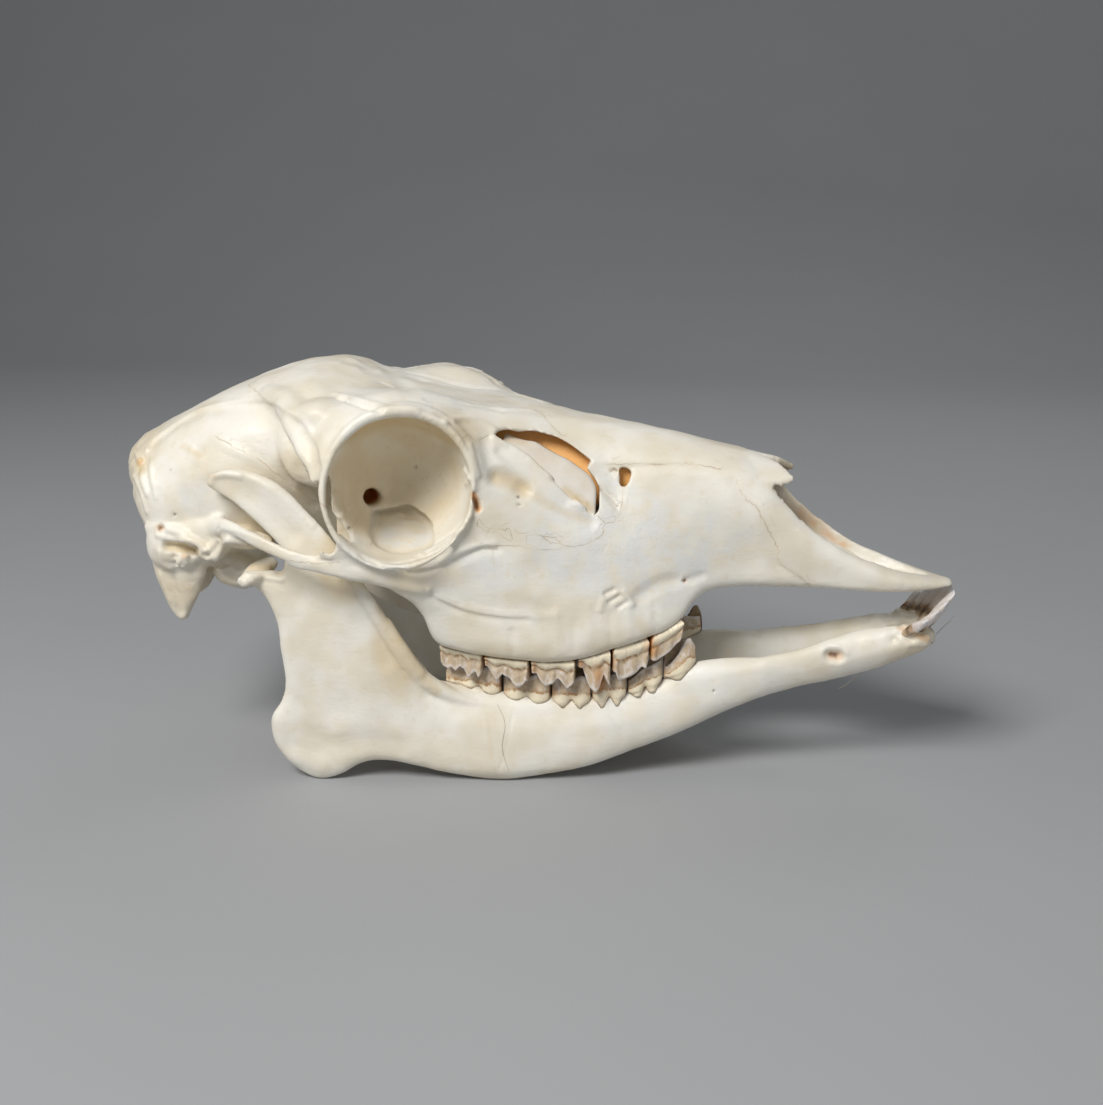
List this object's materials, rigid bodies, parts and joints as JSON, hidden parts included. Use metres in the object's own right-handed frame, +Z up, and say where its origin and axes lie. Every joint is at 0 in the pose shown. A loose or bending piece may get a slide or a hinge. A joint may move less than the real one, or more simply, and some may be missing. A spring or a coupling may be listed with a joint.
{
  "type": "mule deer skull",
  "caption": "Cleaned antlerless mule deer skull with its lower jaw and worn teeth, resting on the jaw, snout towards +X.",
  "frame": {"origin": "middle of the footprint box, on the surface that the lower jaw rests on", "axes": "+X towards the snout, +Y towards the skull's left side, +Z up"},
  "size_m": [0.2635, 0.1115, 0.1282],
  "materials": {
    "cranium_bone": "dry cleaned bone, matte to faintly waxy",
    "jaw_bone": "dry cleaned bone, smooth and faintly waxy",
    "cheek_enamel": "worn enamel with brown tartar",
    "front_enamel": "smooth pale enamel"
  },
  "bodies": {
    "root": {"cranium": "cranium_bone", "mandible_right": "jaw_bone", "mandible_left": "jaw_bone", "upper_M3_right": "cheek_enamel", "upper_M2_right": "cheek_enamel", "upper_M1_right": "cheek_enamel", "upper_P4_right": "cheek_enamel", "upper_P3_right": "cheek_enamel", "upper_P2_right": "cheek_enamel", "upper_M3_left": "cheek_enamel", "upper_M2_left": "cheek_enamel", "upper_M1_left": "cheek_enamel", "upper_P4_left": "cheek_enamel", "upper_P3_left": "cheek_enamel", "upper_P2_left": "cheek_enamel", "lower_M3_right": "cheek_enamel", "lower_M2_right": "cheek_enamel", "lower_M1_right": "cheek_enamel", "lower_P4_right": "cheek_enamel", "lower_P3_right": "cheek_enamel", "lower_P2_right": "cheek_enamel", "lower_M3_left": "cheek_enamel", "lower_M2_left": "cheek_enamel", "lower_M1_left": "cheek_enamel", "lower_P4_left": "cheek_enamel", "lower_P3_left": "cheek_enamel", "lower_P2_left": "cheek_enamel", "lower_incisor_1_right": "front_enamel", "lower_incisor_2_right": "front_enamel", "lower_incisor_3_right": "front_enamel", "lower_canine_right": "front_enamel", "lower_incisor_1_left": "front_enamel", "lower_incisor_2_left": "front_enamel", "lower_incisor_3_left": "front_enamel", "lower_canine_left": "front_enamel"}
  },
  "joints": []
}
